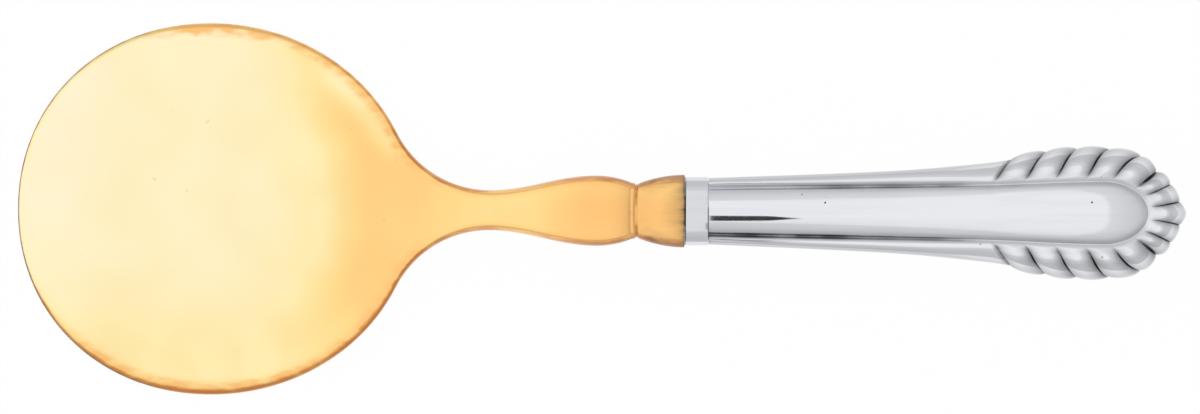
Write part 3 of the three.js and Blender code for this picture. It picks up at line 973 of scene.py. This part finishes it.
halfPlan = handleProfile(ferruleHalfWidth - ferruleLip, "HalfWidth", *handleShape["tipPlan"])
halfDepth = handleProfile(ferruleHalfThickness - ferruleLip, "HalfThickness", *handleShape["tipDepth"])
halfPanel = curveThrough([
    [0, panelShape["mouthHalfWidth"]],
    [handleShape["shoulderReach"], panelShape["shoulderHalfWidth"]],
    [panelShape["archReach"], panelShape["endHalfWidth"]],
])
fanRadius = (panelShape["endHalfWidth"] + handleShape["endHalfWidth"]) / 2
fanEnd = fanRadius * math.pi / 2
shellStart = fanEnd - fanRadius * math.radians(ornamentShape["shellAngle"] / 2)
borderStart = ornamentShape["gadroonStart"] - panelShape["archReach"]
lobeLength = (shellStart - borderStart) / ornamentShape["gadroonCount"]
fluteLength = 2 * (fanEnd - shellStart) / ornamentShape["shellFlutes"]


# A column of the skin below 0 stands square to the handle, above 0 it fans out around the arch's centre
def columnRay(column):
    angle = max(0, column) / fanRadius
    return panelShape["archReach"] + min(0, column), math.cos(angle), math.sin(angle)


def seamReach(foot, across, along):
    low = 0
    high = bodyLength
    for _ in range(searchSteps):
        reach = (low + high) / 2
        x = foot + reach * along
        if reach * across < halfPlan(x) and x < bodyLength:
            low = reach
        else:
            high = reach
    return low


def crownHeight(x, y):
    power = handleShape["squareness"]
    return halfDepth(x) * (1 - min(1, y / max(halfPlan(x), hair)) ** power) ** (1 / power)


# The border rounds over to the seam late along the grip, and as an oval at the ornament
def skinPoint(column, panelShare, borderShare):
    slant = ornamentShape["gadroonSlant"]
    room = smoothRamp(column, borderStart - slant, borderStart)
    fade = smoothFall(column, shellStart - 2 * slant, shellStart)
    foot, across, along = columnRay(column + slant * borderShare * room * fade)
    groove = 1 / math.hypot(across / halfPanel(foot), along / panelShape["archLength"])
    reach = groove * panelShare
    height = crownHeight(foot + reach * along, reach * across)
    if borderShare:
        outward = 1 if borderShare == 1 else math.sin(borderShare * math.pi / 2)
        oval = smoothRamp(column, handleShape["gripReach"] - panelShape["archReach"], borderStart)
        power = mixValues(handleShape["gripFullness"], handleShape["endFullness"], oval)
        reach += (seamReach(foot, across, along) - groove) * outward
        height *= (1 - outward ** power) ** (1 / power)
    return Vector((foot + reach * along, reach * across, height))


def lobe(phase):
    offset = 2 * (phase - math.floor(phase)) - 1
    return math.sqrt(max(0, 1 - offset * offset))


# Height of the gadroon or flute in a column, and 1 on its crest down to 0 in the valley beside it
def lobeAt(column):
    shape = ornamentShape
    if column < shellStart:
        crest = lobe((column - borderStart) / lobeLength)
        return shape["gadroonHeight"] * crest, crest
    boss = 1 - ((fanEnd - column) / (fanEnd - shellStart)) ** shape["shellPower"]
    crest = lobe((column - fanEnd) / fluteLength + 0.5)
    return boss * (shape["shellHeight"] - shape["fluteDepth"] * (1 - crest)), min(crest, boss)


# Oxide left on the handle, with painted shade beside the groove and on the far rim's inner flank and a
# painted reflection line along the rim, with places measured from the mouth and gaps from the groove
oxideShadeAndReflection = {
    "least": 0.15,
    "grip": 0.64,
    "reach": 0.3,
    "thick": 0.13,
    "thickReach": 0.1,
    "thickStart": (1, 7),
    "thickEnd": (19, 27),
    "soot": 0.5,
    "sootGap": 1.0,
    "sootReach": 0.5,
    # Painted shade on the panel beside the groove
    "halo": 0.34,
    "haloGap": 0.85,
    # A painted reflection: a thin dark line on the rim beside the groove
    "line": 0.5,
    "lineGap": 0.6,
    "lineLean": 0.03,
    "lineWidth": 0.1,
    "lineEnd": (8, 15),
    # Painted shade on the inner flank of the far rim
    "lipShade": 0.4,
    "lipGap": 0.65,
    "lipStart": (6, 14),
    "valleyPower": 0.9,
    "valleyStart": (0.02, 0.2),  # shares of the border
    "wiped": (0.25, 0.85),  # what is left on the far side, at the mouth and further on
    "wipedAlong": (10, 26),
}


# How far the ornament stands off the skin, how much oxide, painted shade and painted reflection it holds, and
# how much painted shade the far side holds at least
def reliefAt(column, panelShare, borderShare, gap):
    wear = oxideShadeAndReflection
    x = column + panelShape["archReach"]
    grip = smoothFall(x, *panelShape["gripFade"])
    groove = -panelShape["grooveDepth"] * bell(gap, panelShape["grooveRun"])
    groove *= mixValues(panelShape["grooveEnd"], 1, grip)
    thick = smoothRamp(x, *wear["thickStart"]) * smoothFall(x, *wear["thickEnd"])
    oxide = wear["least"] + (wear["grip"] + wear["thick"] * thick) * grip
    oxide *= bell(gap, wear["reach"] + wear["thickReach"] * thick)
    soot = wear["soot"] * bell(gap, wear["sootGap"]) * bell(x, wear["sootReach"])
    if panelShare < 1:
        # Painted shade on the panel beside the groove
        halo = wear["halo"] * bell(gap, wear["haloGap"])
        return groove, max(oxide, soot, halo), 0
    if column < borderStart - panelShape["beadEnd"] / 2:
        bead = panelShape["beadHeight"] * math.sin(borderShare * math.pi)
        # Painted reflection: a thin dark line on the rim
        line = wear["line"] * bell(gap - wear["lineGap"] - wear["lineLean"] * x, wear["lineWidth"])
        line *= smoothFall(x, *wear["lineEnd"])
        # Painted shade on the rim's inner flank
        lipShade = wear["lipShade"] * bell(gap, wear["lipGap"]) * grip * smoothRamp(x, *wear["lipStart"])
        return groove + bead, max(oxide, soot, line), lipShade
    height, crest = lobeAt(column)
    rise = smoothRamp(borderShare, *ornamentShape["rise"])
    valley = (1 - crest) ** wear["valleyPower"] * smoothRamp(borderShare, *wear["valleyStart"])
    return groove + rise * height, max(valley, oxide), 0


def skinColumns():
    shape = handleShape
    plain = spaced(-panelShape["archReach"], borderStart - panelShape["beadEnd"], shape["plainColumns"])
    lobes = spaced(borderStart, shellStart, ornamentShape["gadroonCount"] * shape["lobeColumns"])
    flutes = spaced(shellStart, fanEnd, round(ornamentShape["shellFlutes"] * shape["lobeColumns"] / 2))
    return plain + lobes[:-1] + flutes


# The spigot that goes into the ferrule, a quarter turn from the top to the seam
def spigotPoint(x, share):
    inset = ferruleShape["wall"] + solderGap
    halves = ferruleHalfWidth - inset, ferruleHalfThickness - inset
    point = ovalPoint((1 - share) * math.pi / 2, *halves, ferruleShape["squareness"])
    return point + Vector((x, 0, 0))


# How dull the skin is at a share of the border, up to 1 at the seam, where the dulling also paints shade on
# the handle's sides
def seamDullness(column, borderShare):
    shape = handleShape
    grip = smoothFall(column, borderStart - shape["seamChange"], borderStart)
    return smoothRamp(borderShare, mixValues(*shape["seamStarts"], grip), mixValues(*shape["seamEnds"], grip))


# One side of the upper skin, with the ornament's height and the oxide, painted shade and painted reflection
# kept on its vertices
def drawSkin(mesh, layers):
    shape = handleShape
    columns = skinColumns()
    spigot = [ferruleLow.x - xMouth, 0]
    rows = [(math.sin(turn), 0) for turn in spaced(0, math.pi / 2, shape["panelRows"])]
    rows += [(1, share) for share in spaced(0, 1, shape["borderRows"])[1:]]
    for vertex, column, row in gridPlaces(mesh, len(spigot) + len(columns), len(rows)):
        if column < len(spigot):
            vertex.co = spigotPoint(spigot[column], row / (len(rows) - 1))
            vertex[layers["oxide_shade_and_reflection"]] = 1
            continue
        place = columns[column - len(spigot)]
        panelShare, borderShare = rows[row]
        point = skinPoint(place, panelShare, borderShare)
        gap = (point - skinPoint(place, 1, 0)).length
        height, oxide, lipShade = reliefAt(place, panelShare, borderShare, gap)
        vertex.co = point
        vertex[layers["height"]] = height
        vertex[layers["oxide_shade_and_reflection"]] = oxide
        vertex[layers["lipShade"]] = lipShade
        vertex[layers["seam"]] = seamDullness(place, borderShare)


# Raises the ornament off the skin, while the seam and the mouth stay in their planes
def raiseRelief(mesh, layers):
    lifts = []
    for vertex in mesh.verts:
        outward = vertex.normal.copy()
        outward.z = 0 if vertex.co.z < hair else outward.z
        outward.x = 0 if vertex.co.x < hair else outward.x
        lifts.append(outward.normalized() * vertex[layers["height"]])
    for vertex, lift in zip(mesh.verts, lifts):
        vertex.co += lift


# Wipes oxide off the far side of the grip, keeping the painted shade on the rim's inner flank
def wipeFarSide(mesh, layers):
    wear = oxideShadeAndReflection
    for vertex in mesh.verts:
        if vertex.co.y > 0 and vertex.co.x < handleShape["shoulderReach"]:
            left = mixValues(*wear["wiped"], smoothRamp(vertex.co.x, *wear["wipedAlong"]))
            vertex[layers["oxide_shade_and_reflection"]] = max(vertex[layers["oxide_shade_and_reflection"]] * left, vertex[layers["lipShade"]])


def buildShell(name, node, turned):
    shape = handleShape
    mesh = bmesh.new()
    layers = {layer: mesh.verts.layers.float.new(layer) for layer in ("oxide_shade_and_reflection", "seam", "height", "lipShade")}
    drawSkin(mesh, layers)
    bmesh.ops.mirror(mesh, geom=mesh.verts[:] + mesh.edges[:] + mesh.faces[:], axis="Y", merge_dist=-1)
    closeMesh(mesh, shape["mirrorGap"])
    mesh.normal_update()
    if sum(face.normal.z for face in mesh.faces) < 0:
        bmesh.ops.reverse_faces(mesh, faces=mesh.faces)
        mesh.normal_update()
    raiseRelief(mesh, layers)
    wipeFarSide(mesh, layers)
    bmesh.ops.translate(mesh, vec=Vector((xMouth, 0, shape["seamGap"] / 2)), verts=mesh.verts)
    if turned:
        bmesh.ops.rotate(mesh, matrix=Matrix.Rotation(math.pi, 3, "X"), verts=mesh.verts)
    bmesh.ops.translate(mesh, vec=Vector((0, 0, axisHeight)), verts=mesh.verts)
    piece = finishPiece(name, mesh, node, silver, shape["sharpAngle"])
    wall = piece.modifiers.new("wall", "SOLIDIFY")
    wall.thickness = shape["wall"] * millimetre
    wall.offset = -1
    return piece


buildShell("handle_front", "handle_front_shell", False)
buildShell("handle_back", "handle_back_shell", True)
print("handle shells built")

# The cement keeps its CAD solid
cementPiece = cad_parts["handle_cement"]
cementPiece.data.materials.clear()
cementPiece.data.materials.append(cement)


# Floor, tent and light, in metres
stageShape = {
    "floorHalf": 4.0,
    "floorColour": (0.92, 0.92, 0.92),
    "floorRoughness": 0.9,
    "floorGlow": 0.98,
    "tentRadius": 1.0,
    "tentSegments": (64, 32),
    "tentTones": [
        (0.0, 1.0), (0.22, 1.0), (0.25, 0.84), (0.34, 0.79), (0.45, 0.73), (0.56, 0.68), (0.7, 0.66),
        (0.85, 0.68), (1.0, 0.72),
    ],
    "tentNarrowing": 0.8,  # the bright roof is longer across the server than along it
    "nearTones": [(0.0, 1.0), (0.08, 1.0), (0.3, 0.92), (1.0, 0.92)],
    "tentStretch": 0.2,  # over the blade the bright roof reaches further down
    "tentWidening": 2.0,  # and further to both sides
    "roofGlow": 1.07,
    "cardHeight": 0.035,
    "darkAlong": (0.0174, 0.0325),
    "darkMiddle": (-0.0059, -0.0045),
    "darkHalf": (0.0027, 0.0018),
    "darkPoint": (0.6, 1.05),  # shares of the length over which the card runs to a point
    "darkSegments": 10,
    "darkColour": (0.06, 0.06, 0.06),
    "darkRoughness": 1.0,
    "whiteAlong": (-0.002, 0.0172),
    "whiteHalf": 0.009,
    "lampPlace": (-0.25, 0.62, 0.55),
    "lampSize": 0.45,
    "lampWatts": 0.6,
}


def addStage(name, mesh, material):
    thing = addObject(name, mesh, material)
    return thing


def makeMatt(name, colour, roughness):
    material, tree, shader = startMaterial(name)
    shader.inputs["Base Color"].default_value = (*colour, 1)
    shader.inputs["Roughness"].default_value = roughness
    return material, tree, shader


# White to the camera and in the metal, and matt to the light, so that it keeps a faint shadow
def buildFloor():
    shape = stageShape
    material, tree, shader = makeMatt("floor_white", shape["floorColour"], shape["floorRoughness"])
    shader.inputs["Specular IOR Level"].default_value = 0
    glow = addNode(tree, "ShaderNodeEmission")
    path = addNode(tree, "ShaderNodeLightPath")
    seen = path.outputs["Is Camera Ray"]
    for ray in ("Is Glossy Ray", "Is Transmission Ray"):
        seen = sums(tree, "MAXIMUM", seen, path.outputs[ray])
    mix = addNode(tree, "ShaderNodeMixShader")
    tree.links.new(sums(tree, "MULTIPLY", seen, shape["floorGlow"]), mix.inputs["Fac"])
    tree.links.new(shader.outputs["BSDF"], mix.inputs[1])
    tree.links.new(glow.outputs["Emission"], mix.inputs[2])
    tree.links.new(mix.outputs["Shader"], tree.nodes["Material Output"].inputs["Surface"])
    mesh = bmesh.new()
    bmesh.ops.create_grid(mesh, x_segments=1, y_segments=1, size=shape["floorHalf"])
    return addStage("floor", mesh, material)


def makeGlow(name):
    material, tree, shader = startMaterial(name)
    glow = addNode(tree, "ShaderNodeEmission")
    glow.inputs["Strength"].default_value = stageShape["roofGlow"]
    tree.links.new(glow.outputs["Emission"], tree.nodes["Material Output"].inputs["Surface"])
    tree.nodes.remove(shader)
    return material, tree, glow


# A white tent, bright overhead and darker towards its foot, seen only in the metal
def buildTent():
    shape = stageShape
    material, tree, glow = makeGlow("tent_cloth")
    coords = addNode(tree, "ShaderNodeTexCoord")
    parts = addNode(tree, "ShaderNodeSeparateXYZ")
    tree.links.new(coords.outputs["Object"], parts.inputs[0])
    x = parts.outputs["X"]
    y = parts.outputs["Y"]
    along = sums(tree, "MAXIMUM", x, sums(tree, "MULTIPLY", x, -shape["tentStretch"]))
    overBlade = sums(tree, "MINIMUM", x, 0.0)
    widening = sums(tree, "ADD", sums(tree, "MULTIPLY", overBlade, -shape["tentWidening"]), 1.0)
    across = sums(tree, "DIVIDE", sums(tree, "ABSOLUTE", y), widening)
    across = sums(tree, "MULTIPLY", across, shape["tentNarrowing"])
    squares = [sums(tree, "MULTIPLY", length, length) for length in (along, across)]
    spread = sums(tree, "SQRT", sums(tree, "ADD", *squares))
    near = sums(tree, "MULTIPLY", y, -1.0)
    shades = []
    for length, stops in ((spread, shape["tentTones"]), (near, shape["nearTones"])):
        greys = [(place, (tone, tone, tone)) for place, tone in stops]
        shades.append(tones(tree, sums(tree, "DIVIDE", length, shape["tentRadius"]), greys))
    tree.links.new(sums(tree, "MULTIPLY", *shades), glow.inputs["Color"])
    mesh = bmesh.new()
    around, upward = shape["tentSegments"]
    bmesh.ops.create_uvsphere(mesh, u_segments=around, v_segments=upward, radius=shape["tentRadius"])
    bmesh.ops.bisect_plane(mesh, geom=mesh.verts[:] + mesh.edges[:] + mesh.faces[:], plane_co=(0, 0, 0),
                           plane_no=(0, 0, -1), clear_outer=True)
    tent = addStage("tent", mesh, material)
    tent.visible_camera = False
    return tent


def hangCard(name, mesh, material):
    card = addStage(name, mesh, material)
    card.visible_camera = False
    card.visible_shadow = False
    return card


# A small dark card hung over the handle, which the panel shows as a thin line with a pointed end
def buildDarkCard():
    shape = stageShape
    material, *_ = makeMatt("card_dark", shape["darkColour"], shape["darkRoughness"])
    mesh = bmesh.new()
    bmesh.ops.create_grid(mesh, x_segments=shape["darkSegments"], y_segments=1, size=1)
    for vertex in mesh.verts:
        share = (vertex.co.x + 1) / 2
        half = mixValues(*shape["darkHalf"], share) * smoothFall(share, *shape["darkPoint"])
        across = mixValues(*shape["darkMiddle"], share) + vertex.co.y * half
        vertex.co = (mixValues(*shape["darkAlong"], share), across, shape["cardHeight"])
    return hangCard("card_dark", mesh, material)


# A white card hung over the waist, as bright as the tent's roof, which fills the dip beside the swell
def buildWhiteCard():
    shape = stageShape
    material, *_ = makeGlow("card_white")
    mesh = bmesh.new()
    bmesh.ops.create_grid(mesh, x_segments=1, y_segments=1, size=1)
    for vertex in mesh.verts:
        along = mixValues(*shape["whiteAlong"], (vertex.co.x + 1) / 2)
        vertex.co = (along, vertex.co.y * shape["whiteHalf"], shape["cardHeight"])
    return hangCard("card_white", mesh, material)


def addLamp():
    lamp = bpy.data.lights.new("softbox", "AREA")
    lamp.size = stageShape["lampSize"]
    lamp.energy = stageShape["lampWatts"]
    holder = bpy.data.objects.new("softbox", lamp)
    holder.location = stageShape["lampPlace"]
    holder.rotation_euler = (-holder.location).to_track_quat("-Z", "Y").to_euler()
    holder.visible_glossy = False
    bpy.context.scene.collection.objects.link(holder)


def setWorld():
    world = bpy.data.worlds.new("studio")
    bpy.context.scene.world = world
    world.use_nodes = True
    world.node_tree.nodes["Background"].inputs["Color"].default_value = (1, 1, 1, 1)


buildFloor()
buildTent()
buildDarkCard()
buildWhiteCard()
addLamp()
setWorld()
print("stage set")


# Camera straight above, framed as the photograph
cameraShape = {
    "imageWidth": 1200,
    "imageHeight": 414,
    "pixel": 0.16274,  # millimetres
    "axisPixel": (601.25, 210.7),  # where the middle of the server falls
    "roll": 0.27,
    "distance": 1500.0,
    "focusHeight": 3.0,
    "sensor": 36.0,
    "clip": (0.1, 20.0),  # metres
}


def addCamera():
    shape = cameraShape
    camera = bpy.data.cameras.new("camera")
    camera.sensor_width = shape["sensor"]
    frameWidth = shape["imageWidth"] * shape["pixel"]
    camera.lens = shape["sensor"] * (shape["distance"] - shape["focusHeight"]) / frameWidth
    camera.clip_start, camera.clip_end = shape["clip"]
    x = (shape["imageWidth"] / 2 - shape["axisPixel"][0]) * shape["pixel"]
    y = (shape["axisPixel"][1] - shape["imageHeight"] / 2) * shape["pixel"]
    holder = bpy.data.objects.new("camera", camera)
    holder.location = Vector((x, y, shape["distance"])) * millimetre
    holder.rotation_euler = (0, 0, math.radians(shape["roll"]))
    bpy.context.scene.collection.objects.link(holder)
    bpy.context.scene.camera = holder


addCamera()
bpy.context.scene.view_settings.view_transform = "Standard"
